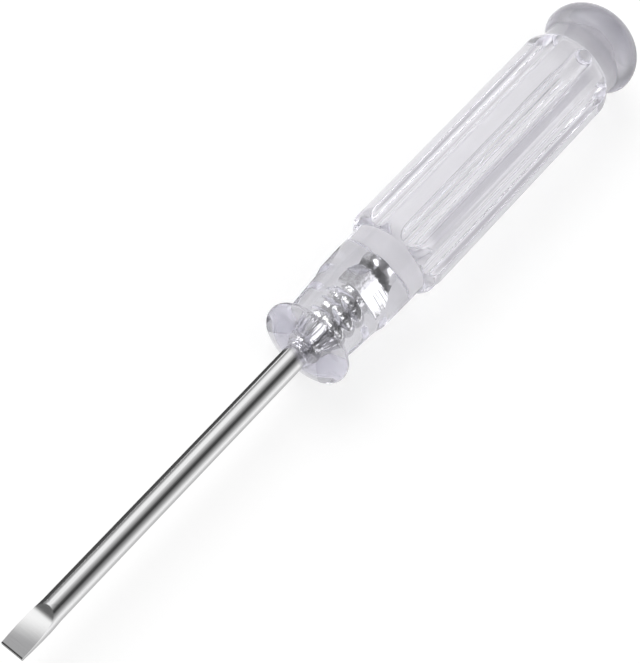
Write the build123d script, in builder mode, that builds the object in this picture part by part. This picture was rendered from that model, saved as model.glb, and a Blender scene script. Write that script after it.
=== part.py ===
from build123d import *
from math import cos, hypot, radians, sin, sqrt
import os

# A small flat tip screwdriver: a steel blade, and the clear handle that is moulded over its rear end.
# Sizes are in millimetres. The origin is the centre of the blade's end face. +X runs along the tool from
# the tip to the cap. +Z is up, with the tool turned as it comes to rest on a table: on two ribs of the
# grip, with the flute between them straight down.

# Blade in front of the handle
shank_diameter = 3.0
blade_reach = 45.4  # from the end face to the nose of the handle
tip_width = 2.95
tip_thickness = 0.5
spread_width = 3.2  # the pressed tip is widest here
spread_distance = 4.0  # from the end face
pressed_length = 6.0  # behind this the rod is round again
round_run = 1.5  # the pressed form runs out over this much of the round rod
flat_length = 1.8  # straight part of each flat
flat_thickness = 0.84
hollow_length = 2.6  # gently hollow part of each flat
hollow_thickness = 1.6
shoulder_length = 1.4  # steep hollow that runs out of the top of the rod
tip_roll = 22.5  # degrees that the flats are turned about the rod, from +Z towards +Y

# Blade inside the handle
embedded_length = 15.0  # from the nose of the handle to the rear end of the rod
press_roll = 27.5  # degrees that the press is turned about the rod, from +Z towards -Y
squeezed_width = 3.06  # the dies squeeze the rod a touch oval from the nose back
squeezed_thickness = 2.92
ear_count = 4
ear_pitch = 1.65
ear_setback = 3.2  # from the nose to the first pair of ears
ear_width = 3.9  # across a pair
ear_length = 1.8  # of the round bump that forms an ear
ear_thickness = 2.3
paddle_setback = 9.4  # from the nose to the front of the flattened paddle
paddle_length = 3.8
paddle_full_length = 2.0  # before it tapers
paddle_width = 4.5
paddle_end_width = 3.0
paddle_thickness = 1.57
paddle_ramp = 0.45  # the rod runs down to the paddle over this length
rear_chamfer = 0.2

# Handle: flange and neck
flange_diameter = 11.15
rim_radius = 1.42  # the rim of the flange is fully round
rim_setback = 2.2  # from the nose to the middle of the rim
neck_front_diameter = 8.4
neck_front_length = 6.8  # from the middle of the rim to the step
neck_front_growth = 0.8  # the moulding widens by this much in diameter up to the step
step_length = 1.2
step_rise = 0.32
neck_rear_length = 6.85
neck_rear_growth = 0.3
neck_corner_radius = 0.3

# Handle: grip
grip_diameter = 12.4
grip_shoulder_length = 1.7
grip_shoulder_radius = 1.2
grip_length = 30.8  # of the full diameter
grip_rear_length = 2.5  # over which the grip rounds down to the waist
flute_count = 8
flute_radius = 1.45
flute_depth = 0.9
flute_front_lead = 1.1  # the centre of a flute's round end lies this far in front of the full grip
flute_rear_margin = 0.45  # and at the rear, this far inside it

# Handle: waist and cap
waist_diameter = 10.35
waist_length = 2.4
waist_corner_radius = 0.3
cap_diameter = 12.45
cap_front_length = 1.55  # from the waist to the widest part of the cap
cap_dome_length = 4.65

# Fit and cutting
moulding_gap = 0.02  # between the rod and the plastic that was moulded round it
overrun = 2.0  # how far a cut reaches past what it cuts

# Stations along the tool
round_x = pressed_length + round_run
nose_x = blade_reach
rod_end_x = nose_x + embedded_length
paddle_x = nose_x + paddle_setback
rim_x = nose_x + rim_setback
step_x = rim_x + neck_front_length
neck_rear_x = step_x + step_length
neck_end_x = neck_rear_x + neck_rear_length
grip_x = neck_end_x + grip_shoulder_length
grip_end_x = grip_x + grip_length
waist_x = grip_end_x + grip_rear_length
waist_end_x = waist_x + waist_length
cap_x = waist_end_x + cap_front_length
cap_end_x = cap_x + cap_dome_length

# The two dies that pressed the rod met in this plane along the rod. The other plane is square to it, and
# shows the gap between the dies.
press_up = Vector(0, -sin(radians(press_roll)), cos(radians(press_roll)))
press_plane = Plane(origin=(0, 0, 0), x_dir=(1, 0, 0), z_dir=press_up)
press_side_plane = Plane(origin=(0, 0, 0), x_dir=(1, 0, 0), z_dir=-press_plane.y_dir)


def bumps(grow):
    """The round bumps of the ears, cut flat by the two dies, every surface moved out by grow."""
    with BuildPart() as ears:
        for number in range(ear_count):
            middle = nose_x + ear_setback + number * ear_pitch
            with BuildSketch():
                with Locations((middle, 0)):
                    Ellipse(ear_length / 2 + grow, ear_width / 2 + grow)
                with Locations((middle, -ear_width)):
                    Rectangle(ear_width * 2, ear_width * 2, mode=Mode.SUBTRACT)
            revolve(axis=Axis.X)
        with BuildSketch(press_plane):
            with Locations((nose_x + embedded_length / 2, 0)):
                Rectangle(embedded_length, ear_width * 2)
        extrude(amount=ear_thickness / 2 + grow, both=True, mode=Mode.INTERSECT)
    return ears.part


def rod(grow):
    """The rod behind the tip with its ears and paddle, every surface moved out by grow."""
    ear_bumps = bumps(grow)
    half_thickness = paddle_thickness / 2 + grow
    radius = shank_diameter / 2 + grow
    paddle_end_x = paddle_x + paddle_length
    with BuildPart() as form:
        with BuildSketch(Plane.YZ.offset(round_x)):
            Circle(radius)
        extrude(amount=nose_x - round_x)
        with BuildSketch(Plane.YZ.offset(nose_x)):
            Ellipse(squeezed_width / 2 + grow, squeezed_thickness / 2 + grow, rotation=press_roll)
        extrude(amount=rod_end_x + grow - nose_x)
        chamfer(form.edges().sort_by(Axis.X)[-1], rear_chamfer)
        add(ear_bumps)

        # The dies squeeze the rod flat from both sides, with a short ramp at each end
        with BuildSketch(press_side_plane):
            with BuildLine():
                Polyline(
                    (paddle_x + grow, shank_diameter),
                    (paddle_x + grow, radius),
                    (paddle_x + paddle_ramp + grow, half_thickness),
                    (paddle_end_x - paddle_ramp - grow, half_thickness),
                    (paddle_end_x - grow, radius),
                    (paddle_end_x - grow, shank_diameter),
                    close=True,
                )
            make_face()
            mirror(about=Plane.XZ)
        extrude(amount=shank_diameter, both=True, mode=Mode.SUBTRACT)

        # What is squeezed out at the sides is the paddle, which the dies trim to six sides
        with BuildSketch(press_plane):
            with BuildLine():
                Polyline(
                    (paddle_x + paddle_ramp / 2 - grow, 0),
                    (paddle_x + paddle_ramp / 2 - grow, paddle_width / 2 + grow),
                    (paddle_x + paddle_full_length + grow, paddle_width / 2 + grow),
                    (paddle_end_x - paddle_ramp / 2 + grow, paddle_end_width / 2 + grow),
                    (paddle_end_x - paddle_ramp / 2 + grow, 0),
                    close=True,
                )
            make_face()
            mirror(about=Plane.XZ)
        extrude(amount=half_thickness, both=True)
    return form.part


# The rod as it is, and the room that the moulding leaves for it
steel_rod = rod(0)
rod_room = rod(moulding_gap)

with BuildPart() as tip:
    # The rod's end is pressed a little wider than the rod
    with BuildSketch(Plane.YZ):
        Ellipse(tip_width / 2, shank_diameter / 2)
    with BuildSketch(Plane.YZ.offset(spread_distance)):
        Ellipse(spread_width / 2, shank_diameter / 2)
    with BuildSketch(Plane.YZ.offset(pressed_length)):
        Circle(shank_diameter / 2)
    with BuildSketch(Plane.YZ.offset(round_x)):
        Circle(shank_diameter / 2)
    loft()

    # Two flats are ground into it, each straight at the tip and hollow towards the shoulder
    with BuildSketch(Plane.XZ):
        with BuildLine():
            hollow_x = flat_length + hollow_length
            lead_in = Line((-overrun, tip_thickness / 2), (0, tip_thickness / 2))
            straight = Line((0, tip_thickness / 2), (flat_length, flat_thickness / 2))
            hollow = TangentArc(straight @ 1, (hollow_x, hollow_thickness / 2), tangent=straight % 1)
            shoulder_x = hollow_x + shoulder_length
            shoulder = TangentArc(hollow @ 1, (shoulder_x, shank_diameter / 2), tangent=hollow % 1)
            Polyline(shoulder @ 1, (shoulder_x, shank_diameter), (-overrun, shank_diameter), lead_in @ 0)
        make_face()
        mirror(about=Plane.XZ)
    extrude(amount=spread_width, both=True, mode=Mode.SUBTRACT)

with BuildPart() as blade:
    add(steel_rod)
    add(tip.part.rotate(Axis.X, -tip_roll))

with BuildPart() as flute:
    # A round-ended groove cutter, lying along the top of the grip
    cutter_front = grip_x - flute_front_lead
    cutter_rear = grip_end_x - flute_rear_margin
    cutter_height = grip_diameter / 2 - flute_depth + flute_radius
    with BuildSketch(Plane.XZ):
        with BuildLine():
            front_end = (cutter_front - flute_radius, cutter_height)
            middle = Line(front_end, (cutter_rear + flute_radius, cutter_height))
            side_height = cutter_height + flute_radius
            rear_round = TangentArc(middle @ 1, (cutter_rear, side_height), tangent=(0, 1))
            side = Line(rear_round @ 1, (cutter_front, side_height))
            TangentArc(side @ 1, front_end, tangent=(-1, 0))
        make_face()
    revolve(axis=Axis((0, 0, cutter_height), (1, 0, 0)))

with BuildPart() as handle:
    with BuildSketch(Plane.XZ) as half_section:
        with BuildLine():
            # The nose is a shallow dome that runs smoothly into the round rim
            rim_height = flange_diameter / 2 - rim_radius
            nose_radius = (rim_setback**2 + rim_height**2 - rim_radius**2) / (rim_setback - rim_radius) / 2
            back_to_centre = nose_radius - rim_setback
            reach_share = rim_radius / hypot(back_to_centre, rim_height)
            rim_start = (rim_x - back_to_centre * reach_share, rim_height * (1 + reach_share))
            nose = TangentArc((nose_x, 0), rim_start, tangent=(0, 1))
            rim_front = TangentArc(nose @ 1, (rim_x, flange_diameter / 2), tangent=nose % 1)
            neck_radius = neck_front_diameter / 2
            rim_end_x = rim_x + sqrt(rim_radius**2 - (rim_height - neck_radius) ** 2)
            rim_back = TangentArc(rim_front @ 1, (rim_end_x, neck_radius), tangent=(1, 0))

            # Neck with its step, then the grip down to the waist
            step_radius = neck_radius + neck_front_growth / 2
            rear_radius = step_radius + step_rise
            body = FilletPolyline(
                rim_back @ 1,
                (step_x, step_radius),
                (neck_rear_x, rear_radius),
                (neck_end_x, rear_radius + neck_rear_growth / 2),
                (grip_x, grip_diameter / 2),
                (grip_end_x, grip_diameter / 2),
                radius=[neck_corner_radius, neck_corner_radius, neck_corner_radius, grip_shoulder_radius],
            )

            # The grip rounds down to the waist, and the cap rounds out of it and closes in a dome
            grip_rear = TangentArc(body @ 1, (waist_x, waist_diameter / 2), tangent=(1, 0))
            cap_edge = (cap_x, cap_diameter / 2)
            waist = Line(grip_rear @ 1, (waist_end_x, waist_diameter / 2))
            TangentArc(waist @ 1, cap_edge, tangent=(-1, 0), tangent_from_first=False)
            EllipticalCenterArc((cap_x, 0), cap_dome_length, cap_diameter / 2)
            Line((cap_end_x, 0), (nose_x, 0))
        make_face()
        waist_corners = half_section.vertices().filter_by_position(Axis.X, grip_end_x, cap_x, (False, False))
        fillet(waist_corners, waist_corner_radius)
    revolve(axis=Axis.X)

    # Round-ended flutes between the ribs, with one flute straight up
    for number in range(flute_count):
        turn = number * 360 / flute_count
        add(flute.part.rotate(Axis.X, turn), mode=Mode.SUBTRACT)

    add(rod_room, mode=Mode.SUBTRACT)

blade.part.label = "blade"
handle.part.label = "handle"

os.makedirs("parts", exist_ok=True)
export_step(blade.part, "parts/blade.step")
export_step(handle.part, "parts/handle.step")
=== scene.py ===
# %% [markdown]
# # A small flat tip screwdriver, dressed for its picture
# The tool is two pieces: a plated steel blade, and a clear plastic handle that was moulded round the blade's rear
# end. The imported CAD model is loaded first, because it says where everything is. Both of its solids are then
# replaced by finer ones, since clear plastic and polished steel show every facet of a mesh.

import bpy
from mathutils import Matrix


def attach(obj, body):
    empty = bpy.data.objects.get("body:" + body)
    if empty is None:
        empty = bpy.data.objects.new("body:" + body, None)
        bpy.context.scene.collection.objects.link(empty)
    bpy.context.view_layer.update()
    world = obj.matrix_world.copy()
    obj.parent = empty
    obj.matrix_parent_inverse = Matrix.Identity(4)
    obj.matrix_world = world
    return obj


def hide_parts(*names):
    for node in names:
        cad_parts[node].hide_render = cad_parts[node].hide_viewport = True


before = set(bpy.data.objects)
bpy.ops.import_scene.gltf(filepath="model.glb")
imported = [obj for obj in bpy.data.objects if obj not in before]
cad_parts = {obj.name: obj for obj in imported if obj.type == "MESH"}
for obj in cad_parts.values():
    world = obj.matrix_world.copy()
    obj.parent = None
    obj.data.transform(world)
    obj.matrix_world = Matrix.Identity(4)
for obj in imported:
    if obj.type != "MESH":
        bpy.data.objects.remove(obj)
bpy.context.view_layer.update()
print("CAD nodes:", sorted(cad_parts))

# %% [markdown]
# ## Sizes
# All sizes are in millimetres, as on a drawing, and each finished piece is scaled to metres once, at the end. The
# tool lies along X with the end of its tip at zero. The stations below are distances from that end. Each radius
# after them belongs to the station of the same name, and the neck's first radius is where it leaves the flange.

# %% Sizes
import bmesh
import bpy
from collections import Counter
from math import asin, atan2, ceil, cos, degrees, hypot, pi, radians, sin, sqrt, tan
from mathutils import Matrix, Vector

ROD_RADIUS = 1.5
NOSE, ROD_END = 45.4, 60.4
TIP_ROLL, PRESS_ROLL, PADDLE_ROLL = 22.5, -28.125, -39.375  # degrees from +Z towards +Y
RIM, STEP, NECK_REAR, NECK_END = 47.6, 54.4, 55.6, 62.1
GRIP, GRIP_END, WAIST, WAIST_END = 62.95, 95.2, 97.7, 99.85
CAP, CAP_END = 101.4, 106.05
NECK_RADIUS, STEP_RADIUS, NECK_REAR_RADIUS, NECK_END_RADIUS = 4.2, 4.6, 4.92, 5.07
GRIP_RADIUS, WAIST_RADIUS, CAP_RADIUS = 6.2, 5.175, 6.225
print("the whole tool is", CAP_END, "mm long, and", round(CAP_END - NOSE, 2), "mm of it is handle")

# %% [markdown]
# ## A pen for turned forms
# Handle and rod are round, like things from a lathe. On a lathe the cutter follows a half section. Here a pen draws
# that half section in the XZ plane: straight strokes by extruding the last point, and arcs by spinning it about
# the arc's centre. One full spin about the tool's own axis then makes the surface.

# %% The pen
MERGE_DISTANCE = 0.0005


class Pen:
    def __init__(self, x, height):
        self.mesh = bmesh.new()
        self.point = self.mesh.verts.new((x, 0, height))

    def line(self, x, height, step=None):
        """A straight stroke, made of parts no longer than step."""
        start = self.point.co.copy()
        stroke = Vector((x, 0, height)) - start
        parts = max(1, ceil(stroke.length / step)) if step else 1
        for part in range(1, parts + 1):
            self.point = bmesh.ops.extrude_vert_indiv(self.mesh, verts=[self.point])["verts"][0]
            self.point.co = start + stroke * (part / parts)

    def arc(self, x, height, turn, step):
        """An arc about the centre (x, height). A positive turn in degrees goes over the top towards +X."""
        radius = hypot(self.point.co.x - x, self.point.co.z - height)
        steps = max(2, ceil(radius * radians(abs(turn)) / step))
        made = bmesh.ops.spin(
            self.mesh, geom=[self.point], cent=(x, 0, height), axis=(0, 1, 0), angle=radians(turn), steps=steps
        )
        self.point = made["geom_last"][0]

    def corner(self, x, height, next_x, next_height, radius, step, line_step=None):
        """A stroke to the corner (x, height), rounded towards the next point."""
        into = Vector((x - self.point.co.x, height - self.point.co.z)).normalized()
        out = Vector((next_x - x, next_height - height)).normalized()
        turn = atan2(into.x * out.y - into.y * out.x, into.dot(out))
        reach = radius * tan(abs(turn) / 2)
        start = Vector((x, height)) - into * reach
        side = 1 if turn > 0 else -1
        centre = start + Vector((-into.y, into.x)) * side * radius
        self.line(start.x, start.y, line_step)
        self.arc(centre.x, centre.y, -degrees(turn), step)

    def spun(self, columns):
        """The half section turned once round the X axis, closed at its poles."""
        bmesh.ops.spin(
            self.mesh, geom=self.mesh.verts[:] + self.mesh.edges[:], cent=(0, 0, 0), axis=(1, 0, 0),
            angle=2 * pi, steps=columns, use_merge=True,
        )
        bmesh.ops.remove_doubles(self.mesh, verts=self.mesh.verts[:], dist=MERGE_DISTANCE)
        bmesh.ops.recalc_face_normals(self.mesh, faces=self.mesh.faces[:])
        return self.mesh


# %% [markdown]
# ## From a drawing in millimetres to a thing in the scene
# A finished piece is a mesh in metres that shades smoothly except at its sharp edges. Spinning gives the points in
# the same order each time, but not the faces, so the faces are sorted by their points. Every closed surface uses each
# of its edges twice, so a count of the other edges shows at once whether a seam or a pole was left open.


# %% Things in the scene
def added(name, data):
    """An object with that mesh, lamp or camera, put into the scene."""
    thing = bpy.data.objects.new(name, data)
    bpy.context.scene.collection.objects.link(thing)
    return thing


def meshed(mesh, name):
    """A bmesh made into an object, which uses it up."""
    data = bpy.data.meshes.new(name)
    mesh.to_mesh(data)
    mesh.free()
    return added(name, data)


def sort_faces(mesh):
    """Puts the faces in the order of their points, so that each run makes the same mesh."""
    mesh.verts.index_update()
    in_order = sorted(mesh.faces, key=lambda face: sorted(vert.index for vert in face.verts))
    for number, face in enumerate(in_order):
        face.index = number
    mesh.faces.sort()


def finished(mesh, name, sharp_angle):
    """A piece of the tool, in metres, with edges over sharp_angle degrees kept sharp."""
    bmesh.ops.scale(mesh, vec=(0.001, 0.001, 0.001), verts=mesh.verts[:])
    sort_faces(mesh)
    piece = meshed(mesh, name)
    piece.data.shade_smooth()
    piece.data.set_sharp_from_angle(angle=radians(sharp_angle))
    piece.data.calc_loop_triangles()
    edge_uses = Counter(loop.edge_index for loop in piece.data.loops)
    open_edges = sum(1 for uses in edge_uses.values() if uses != 2)
    print(name, "has", len(piece.data.loop_triangles), "triangles and", open_edges, "open edges")
    return piece


# %% [markdown]
# ## The blade as a plain rod
# The real blade is a length of 3 mm wire. Everything on it is pressed or ground out of that wire, so the mesh starts
# as a plain rod too, with its rings close together where the tip, the ears and the paddle will be. It has 128
# columns: the flats of the tip are turned by exactly 8 of them, the press by 10 and the paddle by 14, so edges fall
# on columns.

# %% The rod
ROD_COLUMNS = 128
TIP_END = 7.5
PRESS_START, PRESS_END = NOSE + 1.4, NOSE + 13.4
END_CHAMFER = 0.2

pen = Pen(0, 0)
pen.line(0, ROD_RADIUS)
pen.line(TIP_END, ROD_RADIUS, 0.06)
pen.line(PRESS_START, ROD_RADIUS, 2.5)
pen.line(PRESS_END, ROD_RADIUS, 0.07)
pen.line(ROD_END - END_CHAMFER, ROD_RADIUS, 0.4)
pen.line(ROD_END, ROD_RADIUS - END_CHAMFER)
pen.line(ROD_END, 0)
blade_mesh = pen.spun(ROD_COLUMNS)
print("rings and columns:", len(blade_mesh.verts), "points on the rod")

# %% [markdown]
# ## The tip
# A press widens the end of the wire, and a wheel then grinds two flats into it. Seen from the side, each flat is
# straight at first, then hollow, and climbs back to the full rod in a steep shoulder. Each ring of the rod is moved
# to its section. The first 8 columns of every quarter stay on the round side, the other 24 lie on the flat, so the
# edge between the two is one clean line of the mesh. Behind the flats the columns spread evenly again.

# %% Section of the tip
STRAIGHT_END, HOLLOW_END, SHOULDER_END = 1.8, 4.6, 5.8
TIP_HEIGHT, STRAIGHT_HEIGHT, HOLLOW_HEIGHT = 0.25, 0.42, 0.83  # half of the thickness
TIP_WIDTH, WIDEST_WIDTH = 1.475, 1.6  # half of the width
WIDEST, NARROWING = 4, 2.4


def arc_height(x, start, start_height, slope, end, end_height):
    """Height at x, and slope at the end, of the arc that leaves the start at the given slope and meets the end."""
    run, rise = end - start, end_height - start_height
    side = Vector((-slope, 1)).normalized()
    radius = (run * run + rise * rise) / 2 / (run * side.x + rise * side.y)
    centre = Vector((start, start_height)) + side * radius
    height = centre.y - (1 if radius > 0 else -1) * sqrt(max(0, radius**2 - (x - centre.x) ** 2))
    end_slope = (end - centre.x) / (centre.y - end_height)
    return height, end_slope


def flat_height(x):
    """Half thickness of the tip between its flats."""
    slope = (STRAIGHT_HEIGHT - TIP_HEIGHT) / STRAIGHT_END
    if x < STRAIGHT_END:
        return TIP_HEIGHT + slope * x
    height, slope = arc_height(
        min(x, HOLLOW_END), STRAIGHT_END, STRAIGHT_HEIGHT, slope, HOLLOW_END, HOLLOW_HEIGHT
    )
    if x > HOLLOW_END:
        height, _ = arc_height(x, HOLLOW_END, HOLLOW_HEIGHT, slope, SHOULDER_END, ROD_RADIUS)
    return min(height, ROD_RADIUS)


def half_width(x):
    """Half width of the pressed end: it grows up to its widest place and then narrows to the rod."""
    if x < WIDEST:
        return TIP_WIDTH + (WIDEST_WIDTH - TIP_WIDTH) * sin(x / WIDEST * pi / 2)
    share = min(1, (x - WIDEST) / NARROWING)
    return ROD_RADIUS + (WIDEST_WIDTH - ROD_RADIUS) * (0.5 + 0.5 * cos(share * pi))


for x in (0, STRAIGHT_END, 3, HOLLOW_END, 5, SHOULDER_END):
    print("at", x, "mm: thickness", round(2 * flat_height(x), 3), "width", round(2 * half_width(x), 3))

# %% Shaping the tip
ROUND_PART = 22.5  # degrees of each quarter whose columns stay on the round side
JUST = 0.01  # keeps points on the axis or on a limit out of a comparison


def off_axis(vert):
    """Whether a point lies off the tool's axis: the two poles stay where they are."""
    return hypot(vert.co.y, vert.co.z) > JUST


def turned_back(vert, roll):
    """Angle of a point about X, from the side axis of a frame whose up axis is rolled from +Z towards +Y."""
    return atan2(vert.co.z, vert.co.y) + radians(roll)


def placed(vert, side, up, roll):
    """Puts a point at side and up in the rolled frame, at its own x."""
    turn = radians(roll)
    vert.co.y = side * cos(turn) + up * sin(turn)
    vert.co.z = up * cos(turn) - side * sin(turn)


def quarter(angle):
    """An angle folded into one quarter, from 0 at the side to 90 degrees at the top, and the signs to unfold it."""
    side, up = cos(angle), sin(angle)
    return degrees(atan2(abs(up), abs(side))), (1 if side >= 0 else -1), (1 if up >= 0 else -1)


def tip_section(x, column):
    """Side and up, both positive, of a column from 0 to 90 degrees."""
    width = half_width(x)
    if x <= SHOULDER_END:
        edge = asin(min(1, flat_height(x) / ROD_RADIUS))
        if column > ROUND_PART - JUST:
            return width * cos(edge) * (90 - column) / (90 - ROUND_PART), flat_height(x)
        spread = edge * column / ROUND_PART
    else:
        share = (x - SHOULDER_END) / (TIP_END - SHOULDER_END)
        share = share * share * (3 - 2 * share)
        spread = radians((1 - share) * min(90, column * 90 / ROUND_PART) + share * column)
    return width * cos(spread), ROD_RADIUS * sin(spread)


shaped = [vert for vert in blade_mesh.verts if vert.co.x < TIP_END - JUST and off_axis(vert)]
for vert in shaped:
    column, side_sign, up_sign = quarter(turned_back(vert, TIP_ROLL))
    side, up = tip_section(vert.co.x, column)
    placed(vert, side * side_sign, up * up_sign, TIP_ROLL)
print(len(shaped), "points moved to the tip's sections")

# %% [markdown]
# ## Ears and paddle
# Inside the handle the wire is pressed between two dies, so that it can't turn or pull out: four pairs of pinched
# ears, then a flat paddle. They show clearly through the plastic. Where the dies close, the wire's section is an
# oval that they cut flat above and below, so a point's distance from the axis is the smaller of the oval's and the
# cut's. The second pair of dies was turned a little further and stood off the middle, so the paddle is wider on one
# side than on the other.

# %% Shaping the ears and the paddle
EARS = [NOSE + 3.2 + 1.65 * number for number in range(4)]
EAR_REACH = 0.9  # along the rod, from the middle of a pair of ears to its end
OVAL_WIDTH, OVAL_HEIGHT = 1.53, 1.46  # half sizes of the wire between the ears
EAR_GROWTH, EAR_RISE = 0.45, 0.1  # what an ear adds to them
DIE_HEIGHT, DIE_STROKE = 1.48, 0.36  # half the room between the dies, and how much of it they close
PADDLE, PADDLE_END = NOSE + 9.85, NOSE + 13.2
ROLL_CHANGE = PADDLE - 0.05  # from here on the rings are turned as the paddle is
NEAR_WIDTH, FAR_WIDTH, PADDLE_HEIGHT = 2.3, 1.75, 0.785  # half sizes
TAPER_START, TAPER_LENGTH, TAPER = 1.6, 1.6, 0.7
FRONT_BLEND, REAR_BLEND, REAR_RUN_OUT = 0.3, 1.2, 0.9


def pinch(x):
    """How far the dies are closed at x: 1 in the middle of a pair of ears, 0 between two pairs."""
    nearest = min(abs(x - middle) for middle in EARS)
    return max(0, cos(nearest / EAR_REACH * pi / 2)) if nearest < EAR_REACH else 0


def rod_radius(x, angle):
    """Distance from the axis to the pinched rod: the dies press it thinner, and it widens into ears."""
    closed = pinch(x)
    width, height = OVAL_WIDTH + EAR_GROWTH * closed**0.5, OVAL_HEIGHT + EAR_RISE * closed
    oval = 1 / sqrt((cos(angle) / width) ** 2 + (sin(angle) / height) ** 2)
    return min(oval, (DIE_HEIGHT - DIE_STROKE * closed) / max(JUST, abs(sin(angle))))


def clamped(value, limit):
    return max(-limit, min(limit, value))


def pressed_section(x, angle):
    """Side and up of a point of the pinched rod, blended into the paddle where the paddle is."""
    radius = rod_radius(x, angle)
    side, up = radius * cos(angle), radius * sin(angle)
    share = min(1, max(0, (x - PADDLE) / FRONT_BLEND), max(0, (PADDLE_END + REAR_RUN_OUT - x) / REAR_BLEND))
    if share > 0:
        taper = min(1, max(0, (x - PADDLE - TAPER_START) / TAPER_LENGTH))
        width = (NEAR_WIDTH if cos(angle) < 0 else FAR_WIDTH) - TAPER * taper
        flat_side = clamped(sqrt(2) * width * cos(angle), width)
        flat_up = clamped(sqrt(2) * PADDLE_HEIGHT * sin(angle), PADDLE_HEIGHT)
        side, up = side + (flat_side - side) * share, up + (flat_up - up) * share
    return side, up


for vert in blade_mesh.verts:
    if PRESS_START < vert.co.x < ROD_END - END_CHAMFER / 2 and off_axis(vert):
        roll = PADDLE_ROLL if vert.co.x > ROLL_CHANGE else PRESS_ROLL
        side, up = pressed_section(vert.co.x, turned_back(vert, roll))
        placed(vert, side, up, roll)

blade = finished(blade_mesh, "blade_polished", 35)

# %% [markdown]
# ## The handle's outline
# The moulding has a shallow dome at its nose, a fully round flange, a neck with one step, a steep shoulder, the long
# grip, a narrow waist and a domed cap. The pen draws it from pole to pole. Rings are close together where the flutes
# begin and end. The grip rounds down to the waist, and the cap's front rises from it, each in one arc.


# %% The handle's half section
def rounding(run, drop):
    """Radius and turn of the arc that leaves a line parallel to the axis and drops by drop over run."""
    radius = (run**2 + drop**2) / 2 / drop
    return radius, degrees(asin(run / radius))


RIM_HEIGHT, RIM_RADIUS = 4.155, 1.42
NECK_ROUNDING, NECK_END_ROUNDING, SHOULDER_ROUNDING = 0.3, 0.15, 2.4
CLOSE_FRONT, CLOSE_FRONT_END, CLOSE_REAR = 61.0, 64.9, 94.0  # close rings: first to second, and from the third on
FINE, COARSE = 0.08, 1.5  # from ring to ring
FLUTED_SHARE = 0.58  # of the arc behind the grip has close rings, since the flutes reach into it

nose_run = RIM - NOSE
nose_radius = (nose_run**2 + RIM_HEIGHT**2 - RIM_RADIUS**2) / (nose_run - RIM_RADIUS) / 2
rim_turn = degrees(atan2(RIM_HEIGHT, nose_radius - nose_run))
neck_turn = degrees(asin((NECK_RADIUS - RIM_HEIGHT) / RIM_RADIUS))
neck_slope = (NECK_END_RADIUS - NECK_REAR_RADIUS) / (NECK_END - NECK_REAR)
rear_radius, rear_turn = rounding(WAIST - GRIP_END, GRIP_RADIUS - WAIST_RADIUS)
front_radius, front_turn = rounding(CAP - WAIST_END, CAP_RADIUS - WAIST_RADIUS)

pen = Pen(NOSE, 0)
pen.arc(NOSE + nose_radius, 0, rim_turn, 0.4)
pen.arc(RIM, RIM_HEIGHT, 180 - neck_turn - rim_turn, 0.12)
pen.corner(STEP, STEP_RADIUS, NECK_REAR, NECK_REAR_RADIUS, NECK_ROUNDING, 0.05, 0.7)
pen.corner(NECK_REAR, NECK_REAR_RADIUS, NECK_END, NECK_END_RADIUS, NECK_ROUNDING, 0.05, 0.3)
pen.line(CLOSE_FRONT, NECK_REAR_RADIUS + neck_slope * (CLOSE_FRONT - NECK_REAR), 0.8)
pen.corner(NECK_END, NECK_END_RADIUS, GRIP, GRIP_RADIUS, NECK_END_ROUNDING, 0.04, FINE)
pen.corner(GRIP, GRIP_RADIUS, GRIP_END, GRIP_RADIUS, SHOULDER_ROUNDING, FINE, FINE)
pen.line(CLOSE_FRONT_END, GRIP_RADIUS, FINE)
pen.line(CLOSE_REAR, GRIP_RADIUS, COARSE)
pen.line(GRIP_END, GRIP_RADIUS, FINE)
pen.arc(GRIP_END, GRIP_RADIUS - rear_radius, rear_turn * FLUTED_SHARE, FINE)
pen.arc(GRIP_END, GRIP_RADIUS - rear_radius, rear_turn * (1 - FLUTED_SHARE), 0.25)
waist_front = pen.point
pen.line(WAIST_END, WAIST_RADIUS, 0.8)
waist_rear = pen.point
pen.arc(CAP, CAP_RADIUS - front_radius, front_turn, 0.3)
radii = {"nose": nose_radius, "grip's rear": rear_radius, "cap's front": front_radius}
print("radii, mm:", {name: round(radius, 2) for name, radius in radii.items()})

# %% [markdown]
# The cap's dome is a quarter of a circle, squashed along the tool. It is spun as a true arc, and its points are then
# scaled in X about the widest ring of the cap. The two corners of the waist are rounded by a vertex bevel.

# %% The cap's dome and the corners of the waist
HANDLE_COLUMNS = 272
WAIST_ROUNDING = 0.3

before = set(pen.mesh.verts)
pen.arc(CAP, 0, 90, 0.3)
dome = [vert for vert in pen.mesh.verts if vert not in before]
bmesh.ops.scale(
    pen.mesh, verts=dome, vec=((CAP_END - CAP) / CAP_RADIUS, 1, 1), space=Matrix.Translation((-CAP, 0, 0))
)
for corner, turn in ((waist_front, rear_turn), (waist_rear, front_turn)):
    bmesh.ops.bevel(
        pen.mesh, geom=[corner], offset=WAIST_ROUNDING * tan(radians(turn / 2)), segments=3, profile=0.5,
        affect="VERTICES", material=-1,
    )
handle_mesh = pen.spun(HANDLE_COLUMNS)
print("the handle has", len(handle_mesh.verts), "points")

# %% [markdown]
# ## The flutes
# Eight grooves run along the grip. Each is the trace of a round bar with a round front end. A point that lies inside
# a bar is pushed towards the axis until it lies on the bar. At the rear the bars run on past the grip, and come out
# of the plastic by themselves where it narrows to the waist. 272 columns put the edge of a flute on the ninth column
# from its middle. The edges are then softened a little, as a mould leaves them.

# %% Pushing in the flutes
FLUTE_PITCH = pi / 4
FLUTE_RADIUS, FLUTE_HEIGHT = 1.45, 6.75
FLUTE_START, FLUTE_END = NECK_END, WAIST + 0.6
FLUTED_FROM = 4  # radius below which no point of the handle is near a flute
NEARBY = 2  # how far past the straight part of its bar a flute still reaches
SOFT_EDGE, SOFTENINGS = 0.16, 2


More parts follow.
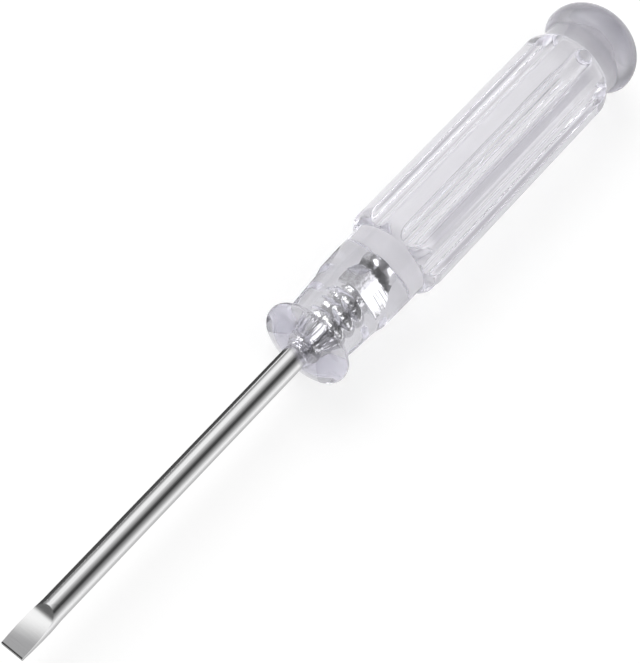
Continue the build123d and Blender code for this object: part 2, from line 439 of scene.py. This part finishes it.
def flute_reach(vert):
    """Angle from the nearest flute's middle, and how far the point is past the straight part of its bar."""
    turn = atan2(vert.co.y, vert.co.z) / FLUTE_PITCH
    return (turn - round(turn)) * FLUTE_PITCH, max(0, FLUTE_START - vert.co.x, vert.co.x - FLUTE_END)


soft = []
pushed = 0
for vert in handle_mesh.verts:
    radius = hypot(vert.co.y, vert.co.z)
    if radius < FLUTED_FROM or not FLUTE_START - NEARBY < vert.co.x < FLUTE_END + NEARBY:
        continue
    angle, past = flute_reach(vert)
    depth = FLUTE_RADIUS - sqrt(
        (radius * cos(angle) - FLUTE_HEIGHT) ** 2 + (radius * sin(angle)) ** 2 + past**2
    )
    if abs(depth) < SOFT_EDGE:
        soft.append(vert)
    if depth > 0:
        middle = FLUTE_HEIGHT * cos(angle)
        root = middle**2 - (FLUTE_HEIGHT**2 + past**2 - FLUTE_RADIUS**2)
        target = middle - sqrt(max(0, root))
        vert.co.y *= target / radius
        vert.co.z *= target / radius
        pushed += 1
for _ in range(SOFTENINGS):
    bmesh.ops.smooth_vert(
        handle_mesh, verts=soft, factor=0.5, use_axis_x=False, use_axis_y=True, use_axis_z=True
    )
print(pushed, "points lie in the flutes, and", len(soft), "along their edges")

# %% [markdown]
# ## The bubble
# A small bubble of air was caught in the middle of the grip. It is a hole in the plastic, so its surface is a part
# of the handle's own mesh, turned inside out.

# %% The bubble
BUBBLE_PLACE, BUBBLE_RADIUS, BUBBLE_STRETCH = (78.0, 0.2, 1.5), 0.22, 2.1

bubble = bmesh.ops.create_uvsphere(
    handle_mesh, u_segments=24, v_segments=16, radius=BUBBLE_RADIUS,
    matrix=Matrix.Translation(BUBBLE_PLACE) @ Matrix.Diagonal((BUBBLE_STRETCH, 1, 1, 1)),
)
bubble_faces = {face for vert in bubble["verts"] for face in vert.link_faces}
bmesh.ops.reverse_faces(handle_mesh, faces=list(bubble_faces))
handle = finished(handle_mesh, "handle_clear", 40)

# %% [markdown]
# ## Writing finishes
# A finish is a set of shader nodes. The two small classes below let it be written as ordinary arithmetic: a Signal
# is what comes out of a node, and adding or multiplying Signals adds the Math nodes that do it. A Sheet adds every
# node by one method, and has a few short names for what is used again and again.


# %% Signals
class Signal:
    def __init__(self, sheet, socket):
        self.sheet = sheet
        self.socket = socket

    def __add__(self, other):
        return self.sheet.maths("ADD", self, other)

    def __sub__(self, other):
        return self.sheet.maths("SUBTRACT", self, other)

    def __rsub__(self, other):
        return self.sheet.maths("SUBTRACT", other, self)

    def __mul__(self, other):
        return self.sheet.maths("MULTIPLY", self, other)

    def __truediv__(self, other):
        return self.sheet.maths("DIVIDE", self, other)

    __radd__ = __add__
    __rmul__ = __mul__


# %% Sheets
def grey(shade):
    return (shade, shade, shade, 1)


BLACK, WHITE = grey(0), grey(1)
FIRST, SECOND, MIXED = 6, 7, 2  # the colour sockets of a Mix node: two go in and one comes out


class Sheet:
    def __init__(self, owner):
        owner.use_nodes = True
        self.tree = owner.node_tree
        self.tree.nodes.clear()

    def add(self, kind, settings=None, sockets=None, output=0):
        """Adds a node: its settings first, then the values or Signals of its sockets."""
        node = self.tree.nodes.new(kind)
        for name, value in (settings or {}).items():
            if name == "stops":
                ramp = node.color_ramp
                while len(ramp.elements) < len(value):
                    ramp.elements.new(0.5)
                for element, (place, shade) in zip(ramp.elements, value):
                    element.position = place
                    element.color = (*shade, 1) if isinstance(shade, tuple) else grey(shade)
            else:
                setattr(node, name, value)
        for key, value in (sockets or {}).items():
            if isinstance(value, Signal):
                self.tree.links.new(value.socket, node.inputs[key])
            else:
                node.inputs[key].default_value = value
        return Signal(self, node.outputs[output]) if len(node.outputs) else node

    def maths(self, operation, *values):
        """One step of arithmetic on one or two values."""
        return self.add("ShaderNodeMath", {"operation": operation}, dict(enumerate(values)))

    def noise(self, waves, detail, roughness):
        """Noise over the piece's own coordinates, with about that many waves to the metre along each axis."""
        place = self.add("ShaderNodeTexCoord", output="Object")
        place = self.add("ShaderNodeMapping", sockets={"Vector": place, "Scale": waves})
        return self.add(
            "ShaderNodeTexNoise", sockets={"Vector": place, "Scale": 1.0, "Detail": detail, "Roughness": roughness}
        )

    def split(self, vector):
        """The three parts of a vector."""
        return [self.add("ShaderNodeSeparateXYZ", sockets={"Vector": vector}, output=axis) for axis in range(3)]

    def place(self):
        """The piece's own coordinates, in metres."""
        return self.split(self.add("ShaderNodeTexCoord", output="Object"))

    def ray(self, kind):
        """1 for rays of that kind, 0 for others."""
        return self.add("ShaderNodeLightPath", output="Is " + kind + " Ray")

    def ramp(self, value, start, end):
        """0 before start and 1 past end, softly. Both are in thousandths: in millimetres where value is a length."""
        return self.add(
            "ShaderNodeMapRange", {"interpolation_type": "SMOOTHSTEP"},
            {"Value": value, "From Min": start / 1000, "From Max": end / 1000, "To Min": 0.0, "To Max": 1.0},
        )

    def band(self, value, start, full, fading, end):
        """1 from full to fading, and 0 before start and past end."""
        return self.ramp(value, start, full) * (1 - self.ramp(value, fading, end))

    def mix(self, share, first, second, how="MIX"):
        """A colour mix: first where share is 0, and where it is 1 second, or the two multiplied."""
        settings = {"data_type": "RGBA", "blend_type": how}
        return self.add("ShaderNodeMix", settings, {"Factor": share, FIRST: first, SECOND: second}, MIXED)

    def bump(self, height, depth, strength=1.0, **under):
        """A normal for a surface that is up to depth metres high, over another normal if one is given."""
        return self.add("ShaderNodeBump", sockets={"Height": height, "Strength": strength, "Distance": depth, **under})

    def output(self, **sockets):
        """Ends the finish with the surface, and the volume if there is one."""
        self.add("ShaderNodeOutputMaterial", sockets=sockets)
        print("the finish has", len(self.tree.nodes), "nodes")


# %% [markdown]
# ## Polished steel
# The rod was polished along its length and bright plated. What the eye reads as "chrome" is the room around it: two
# soft lights and the dark between them. The metal itself only needs long, very fine streaks in its gloss.

# %% Polished steel: streaks
GRAIN_DEPTH = 0.00001  # in metres

steel = bpy.data.materials.new("polished_steel")
sheet = Sheet(steel)
streaks = sheet.noise((50, 7000, 7000), 3.0, 0.7)
cloud = sheet.noise((250, 900, 900), 2.0, 0.5)
tone = sheet.mix(streaks * 0.8 + cloud * 0.2, (0.74, 0.74, 0.745, 1), (0.98, 0.98, 0.985, 1))
grain = sheet.bump(streaks, GRAIN_DEPTH, 0.35)
print("the streaks take", len(sheet.tree.nodes), "nodes")

# %% [markdown]
# The dies left more on the covered end: dents all over, deepest in front of the first ears and shallow on the
# paddle, and a row of fine marks across the paddle's near edge. Dark patches on the near side and at the rod's end
# are painted shade: painted dark reflections of the room. The paddle's far half is a little duller than its near half.

# %% Polished steel: what the press left, and painted dark reflections
DENT_DEPTH, RAGGEDNESS, MARK_PITCH = 0.00024, 0.0024, 0.0005  # in metres
MARK_LEVEL = 0.88  # the marks are drawn where a wave along the rod is higher than this
# the colour of the die marks, and of the painted dark reflections
RAW_STEEL_AND_PAINTED_SHADE = (0.08, 0.08, 0.085, 1)

along, across, _ = sheet.place()
dents = sheet.noise((1150, 1400, 1400), 2.0, 0.5)
specks = sheet.noise((1900, 2300, 2300), 2.0, 0.6)
pressed = sheet.ramp(along, 45.6, 46.0) * (1.6 - sheet.ramp(along, 48.4, 49.4) * 0.9)
paddle = sheet.ramp(along, 55.1, 55.5)
dented = sheet.bump(dents * pressed * (1 - paddle * 0.75), DENT_DEPTH, Normal=grain)
ragged = (specks - 0.5) * RAGGEDNESS
near_side = across + ragged
# painted dark reflection: a jagged dark band along the near side of the pressed rod
painted_dark_edge = sheet.ramp(near_side, -0.35, -0.5) * (1 - sheet.ramp(near_side, -0.85, -1.0) * 0.6)
painted_dark_edge = painted_dark_edge * sheet.ramp(along, 46.0, 46.8) * (1 - paddle) * (specks * 0.5 + 0.6)
# painted dark reflection: a dark band across the rod just before its end
painted_dark_end = sheet.band(along + ragged * 0.5, 58.1, 58.5, 59.0, 59.4) * (specks * 0.7 + 0.5)
marks = sheet.maths("GREATER_THAN", sheet.maths("SINE", along * (2 * pi / MARK_PITCH)), MARK_LEVEL)
marks = marks * sheet.band(along, 56.7, 56.8, 58.2, 58.3) * sheet.ramp(across, -0.9, -1.2)
far_half = sheet.ramp(across, -0.5, -0.2) * paddle * (1 - painted_dark_end)
tone = sheet.mix(painted_dark_edge + painted_dark_end + marks * 0.9 + far_half * specks * 0.8, tone, RAW_STEEL_AND_PAINTED_SHADE)
surface = sheet.add(
    "ShaderNodeBsdfPrincipled",
    sockets={"Base Color": tone, "Metallic": 1.0, "Roughness": streaks * 0.08 + cloud * 0.05 + 0.07, "Normal": dented},
)
sheet.output(Surface=surface)

# %% [markdown]
# ## Ground steel
# The wheel that ground the flats left very fine lines across the tip. The metal's colour is painted dull grey near
# the end and brighter up the hollow, a painted highlight for the glint of the curved hollow. The end face is cut off,
# and painted nearly black as painted shade.

# %% Ground steel
ground = bpy.data.materials.new("ground_steel")
sheet = Sheet(ground)
lines = sheet.noise((9000, 300, 300), 2.0, 0.6)
along, across, _ = sheet.place()
# painted highlight: the flats' colour brightens from dull grey to white up the hollow
painted_hollow_highlight = sheet.ramp(along + across * 0.3, 1.2, 4.5)
tone = sheet.mix(painted_hollow_highlight * 0.85 + lines * 0.15, (0.32, 0.32, 0.325, 1), WHITE)
# painted shade: the end face of the tip is drawn nearly black
end_face = 1 - sheet.ramp(along, 0.1, 0.2)
tone = sheet.mix(end_face, tone, grey(0.03))
grain = sheet.bump(lines, GRAIN_DEPTH, 0.4)
surface = sheet.add(
    "ShaderNodeBsdfPrincipled",
    sockets={"Base Color": tone, "Metallic": 1.0, "Roughness": lines * 0.12 + 0.12, "Normal": grain},
)
sheet.output(Surface=surface)

# %% [markdown]
# A face of the tip is ground when it lies on one of the two flats and looks up or down rather than sideways, or when
# it lies in the end face.

# %% The two finishes on the blade
FLAT_MARGIN, END_FACE = 0.012, 0.01  # how far from a flat and from the end its faces may lie
LEAST_FACING = 0.3  # cosine of the most that they lean

blade.data.materials.append(steel)
blade.data.materials.append(ground)
flat_normal = Vector((0, sin(radians(TIP_ROLL)), cos(radians(TIP_ROLL))))
for polygon in blade.data.polygons:
    x, height = polygon.center.x * 1000, abs(polygon.center.dot(flat_normal)) * 1000
    facing = abs(polygon.normal.dot(flat_normal)) > LEAST_FACING
    on_flat = x < SHOULDER_END and height > flat_height(x) - FLAT_MARGIN and facing
    if on_flat or x < END_FACE:
        polygon.material_index = 1
print(sum(1 for polygon in blade.data.polygons if polygon.material_index), "faces of the tip are ground")

# %% [markdown]
# ## Clear plastic
# The handle is cast clear plastic, a faint violet grey. A little of its colour comes from depth, as light is
# absorbed on the way through. The rest is a tint whose changes along the handle are painted shade: strong in the
# flange, weaker in the neck, weakest in the grip, and strong again towards the top of the cap. The cap is also
# milky, because its surface is rougher. The rest is glossy and very slightly wavy, as a moulding is.
#
# Two stripes of painted shade are drawn into the grip. The walls of the flutes are painted darker than the ribs,
# and one rib carries a broad dark stripe, a painted shadow: the tool's contact shadow seen through the plastic.

# %% Clear plastic: its tint and its painted shade
TINT_START, TINT_LENGTH = 45, 62
TINTS_AND_PAINTED_SHADE = [
    (45.4, (0.62, 0.615, 0.645)),  # flange
    (48.6, (0.64, 0.635, 0.66)),
    (49.6, (0.84, 0.84, 0.855)),  # neck
    (59, (0.76, 0.755, 0.78)),
    (61.6, (0.66, 0.655, 0.685)),
    (63.2, (0.94, 0.935, 0.945)),  # grip
    (96, (0.93, 0.925, 0.935)),
    (99.5, (0.80, 0.795, 0.815)),  # waist
    (101.2, (0.58, 0.575, 0.605)),  # cap
    (102.5, (0.47, 0.462, 0.50)),
    (104.5, (0.30, 0.293, 0.33)),
]

plastic = bpy.data.materials.new("clear_plastic")
sheet = Sheet(plastic)
haze = sheet.noise((120, 1500, 1500), 3.0, 0.6)
clouds = sheet.noise((260, 330, 330), 2.0, 0.5)
along, across, height = sheet.place()
# the plastic's violet grey, with painted shade in how it darkens along the handle
tint_and_painted_shade = sheet.add(
    "ShaderNodeValToRGB", {"stops": [((x - TINT_START) / TINT_LENGTH, shade) for x, shade in TINTS_AND_PAINTED_SHADE]},
    {"Fac": along / (TINT_LENGTH / 1000) - TINT_START / TINT_LENGTH},
)
tone = sheet.mix(haze * 0.5 + clouds * 0.5, tint_and_painted_shade, (0.86, 0.855, 0.885, 1), "MULTIPLY")
radius = sheet.maths("SQRT", across * across + height * height)
around = sheet.maths("ARCTAN2", across * -1, height)
# painted shade on the flutes' walls, and a painted shadow stripe along one rib
painted_wall_shade = sheet.band(radius, 5.65, 5.9, 6.12, 6.2) * sheet.band(along, 63.5, 66, 94, 97)
painted_shadow_stripe = sheet.band(around, 205, 225, 415, 440) * sheet.band(along, 64.2, 65.5, 94, 96)
tone = sheet.mix(painted_wall_shade + painted_shadow_stripe, tone, (0.68, 0.67, 0.70, 1), "MULTIPLY")
print("the tint has", len(TINTS_AND_PAINTED_SHADE), "stops along the handle, and takes", len(sheet.tree.nodes), "nodes")

# %% [markdown]
# Light that is caught between the walls of clear plastic goes round and round in it. The renderer gives up after a
# few turns and would leave a black spot, where a real handle stays pale. So the plastic glows with its own pale tint
# for such rays, and for no others.

# %% Clear plastic: its surface
MILKY = 0.22  # added to the roughness of the cap
RIPPLE_DEPTH = 0.000025
MOST_TURNS = 4.5
LOST_LIGHT = (0.62, 0.615, 0.655, 1)

ripple = sheet.bump(sheet.noise((50, 420, 420), 1.0, 0.4), RIPPLE_DEPTH)
trapped = sheet.maths("GREATER_THAN", sheet.add("ShaderNodeLightPath", output="Ray Depth"), MOST_TURNS)
surface = sheet.add(
    "ShaderNodeBsdfPrincipled",
    sockets={
        "Base Color": tone, "Metallic": 0.0, "Roughness": haze * 0.03 + 0.015 + sheet.ramp(along, 100, 102.5) * MILKY,
        "IOR": 1.49, "Transmission Weight": 0.92, "Normal": ripple,
        "Emission Color": sheet.mix(trapped, BLACK, LOST_LIGHT), "Emission Strength": 1.0,
    },
)
depth = sheet.add("ShaderNodeVolumeAbsorption", sockets={"Color": (0.5, 0.5, 0.55, 1), "Density": 12.0})
sheet.output(Surface=surface, Volume=depth)
handle.data.materials.append(plastic)

# %% [markdown]
# ## Onto the frame
# Both pieces move with the one body of the tool. Each takes the place of its CAD solid, which is hidden.

# %% Onto the frame
for piece, node, slot in ((blade, "blade", "plated_steel"), (handle, "handle", "clear_plastic")):
    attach(piece, "root")
    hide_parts(node)
    print(piece.name, "stands in for", node, "in", slot)

# %% [markdown]
# ## The floor
# The tool lies on a plain white floor. The floor glows a little for the camera, for reflections and for light that
# has come through the handle, so that it reads as white while the tool still leaves a soft shadow. The glow grows
# with distance until the floor is as white as the room, so that no line shows where the two meet.


# %% The floor
def rectangle(name, middle, length, width):
    """A flat rectangle, length along X and width along Y."""
    mesh = bmesh.new()
    bmesh.ops.create_grid(
        mesh, x_segments=1, y_segments=1, size=0.5,
        matrix=Matrix.Translation(middle) @ Matrix.Diagonal((length, width, 1, 1)),
    )
    return meshed(mesh, name)


FLOOR, FLOOR_SIZE = -CAP_RADIUS / 1000, 3.2
MIDDLE = 0.05  # about halfway along the tool
GLOW_NEAR, GLOW_STRENGTH = 0.817, 0.82

floor = rectangle("floor", (MIDDLE, 0, FLOOR), FLOOR_SIZE, FLOOR_SIZE)
paper = bpy.data.materials.new("white_paper")
sheet = Sheet(paper)
seen = sheet.ray("Camera") + sheet.ray("Glossy") + sheet.ray("Transmission")
seen = sheet.maths("MINIMUM", seen, 1.0)
place = sheet.add("ShaderNodeTexCoord", output="Object")
distance = sheet.add("ShaderNodeVectorMath", {"operation": "LENGTH"}, {0: place}, output="Value")
glow = sheet.mix(sheet.ramp(distance, 200, 600), grey(GLOW_NEAR), WHITE)
surface = sheet.add(
    "ShaderNodeBsdfPrincipled",
    sockets={
        "Base Color": grey(0.4), "Roughness": 1.0, "Specular IOR Level": 0.0,
        "Emission Color": sheet.mix(seen, BLACK, glow), "Emission Strength": GLOW_STRENGTH,
    },
)
sheet.output(Surface=surface)
floor.data.materials.append(paper)

# %% [markdown]
# ## The room
# A polished rod shows the room as bands. Going round from the floor behind the tool, over the top, to the floor in
# front: dark, a bright window of soft light, dark straight overhead, and a second wide light low on the near side.
# Past the tip the room is dark, and gives the tip its contrast. The world is drawn so for reflections. Light that
# comes through the plastic meets a room a quarter of the way to white, a matt surface is lit by an even grey, and the
# camera sees plain white.

# %% The room
BANDS = [  # degrees round from +Y over the top to -Y, and the brightness there
    (0, 0.19), (14.7, 0.44), (27, 0.97), (33, 1.0), (54, 1.0), (65, 0.66), (77, 0.41), (89, 0.24),
    (98, 0.08), (113, 0.035), (123, 0.15), (135.6, 0.31), (148, 0.48), (162, 0.81), (173, 1.0),
]

world = bpy.data.worlds.new("studio")
bpy.context.scene.world = world
sheet = Sheet(world)
toward_cap, to_far_side, upward = sheet.split(sheet.add("ShaderNodeTexCoord", output="Generated"))
turn = sheet.maths("ARCTAN2", upward, to_far_side)
bands = sheet.add(
    "ShaderNodeValToRGB", {"stops": [(angle / 180, shade) for angle, shade in BANDS]}, {"Fac": turn / pi}
)
room = sheet.mix(sheet.ramp(toward_cap, -100, -600), bands, grey(0.13))
room = sheet.mix(sheet.ray("Transmission") * 0.25, room, WHITE)
shown = sheet.mix(sheet.ray("Glossy"), grey(0.5), room)
shown = sheet.mix(sheet.ray("Camera"), shown, WHITE)
background = sheet.add("ShaderNodeBackground", sockets={"Color": shown, "Strength": 1.0})
sheet.add("ShaderNodeOutputWorld", sockets={"Surface": background})
print("the room has", len(BANDS), "steps of brightness")

# %% [markdown]
# Two wide lamps, one on each side, give the floor its light and the tool its soft shadow. Reflections don't show
# them, since the room's bands stand for them there.


# %% Soft lamps
def soft_lamp(name, place, size, power):
    light = bpy.data.lights.new(name, "AREA")
    light.shape = "DISK"
    light.size = size
    light.energy = power
    lamp = added(name, light)
    lamp.location = place
    lamp.rotation_mode = "QUATERNION"
    lamp.rotation_quaternion = (Vector(place) - Vector((MIDDLE, 0, 0))).to_track_quat("Z", "Y")
    lamp.visible_glossy = False
    print(name, "has", power, "W")


soft_lamp("far_side_light", (0.1, 0.45, 0.45), 0.5, 2.4)
soft_lamp("near_side_light", (0.26, -0.52, 0.16), 0.55, 1.3)

# %% [markdown]
# ## Grey cards
# On the floor on both sides of the rod lies a grey card that only reflections see. The far one is nearly black and
# gives the rod the dark edge that makes polished metal stand out against a white floor. It ends beside the neck, so
# that the grip's own edge stays bright. The near one is only a soft grey close to the rod. Both fade into the light
# of the room away from the tool.

# %% Cards
CARD_START, CARD_GAP, CARD_LIFT = -0.08, 0.0045, 0.0001
HIDDEN_FROM = ("camera", "diffuse", "transmission", "shadow", "volume_scatter")


def card(name, side, reach, end, shades):
    """A card on that side (1 is +Y), reach metres wide, from past the tip up to x = end, with its shades."""
    middle = ((CARD_START + end) / 2, side * (CARD_GAP + reach / 2), FLOOR + CARD_LIFT)
    piece = rectangle(name, middle, end - CARD_START, reach)
    for kind in HIDDEN_FROM:
        setattr(piece, "visible_" + kind, False)
    finish = bpy.data.materials.new(name + "_grey")
    sheet = Sheet(finish)
    _, away, _ = sheet.place()
    fade = sheet.add("ShaderNodeValToRGB", {"stops": shades}, {"Fac": away * (side / reach)})
    sheet.output(Surface=sheet.add("ShaderNodeEmission", sockets={"Color": fade, "Strength": 1.0}))
    piece.data.materials.append(finish)


card("far_card", 1, 0.4, 0.062, [(0.0, 0.055), (0.05, 0.08), (0.1, 0.12), (0.25, 0.16), (1.0, 0.19)])
card("near_card", -1, 0.1, 0.12, [(0.0, 0.42), (0.06, 0.5), (0.12, 0.62), (0.3, 0.85), (1.0, 1.0)])

# %% [markdown]
# ## The camera
# The photograph looks down at the tool from about 24 cm, with the tip low on the left. The camera is rolled, so its
# right and up directions are given outright and put into its matrix.

# %% The camera
AIM, DISTANCE = Vector((0.0497, -0.0000924, 0.0000383)), 0.237

right = Vector((0.63433, -0.71422, 0.29584))
up = Vector((0.66195, 0.69948, 0.26936))
back = Vector((-0.39931, 0.02497, 0.91647))
eye = AIM + back * DISTANCE
camera_data = bpy.data.cameras.new("camera")
camera_data.sensor_fit = "VERTICAL"
camera_data.sensor_height = camera_data.sensor_width = 36
camera_data.lens = 115
camera_data.clip_start, camera_data.clip_end = 0.01, 10
camera = added("camera", camera_data)
camera.matrix_world = Matrix([[right[row], up[row], back[row], eye[row]] for row in range(3)] + [[0, 0, 0, 1]])
bpy.context.scene.camera = camera
bpy.context.scene.view_settings.view_transform = "Standard"
print("camera at", [round(value * 1000, 1) for value in eye], "mm")
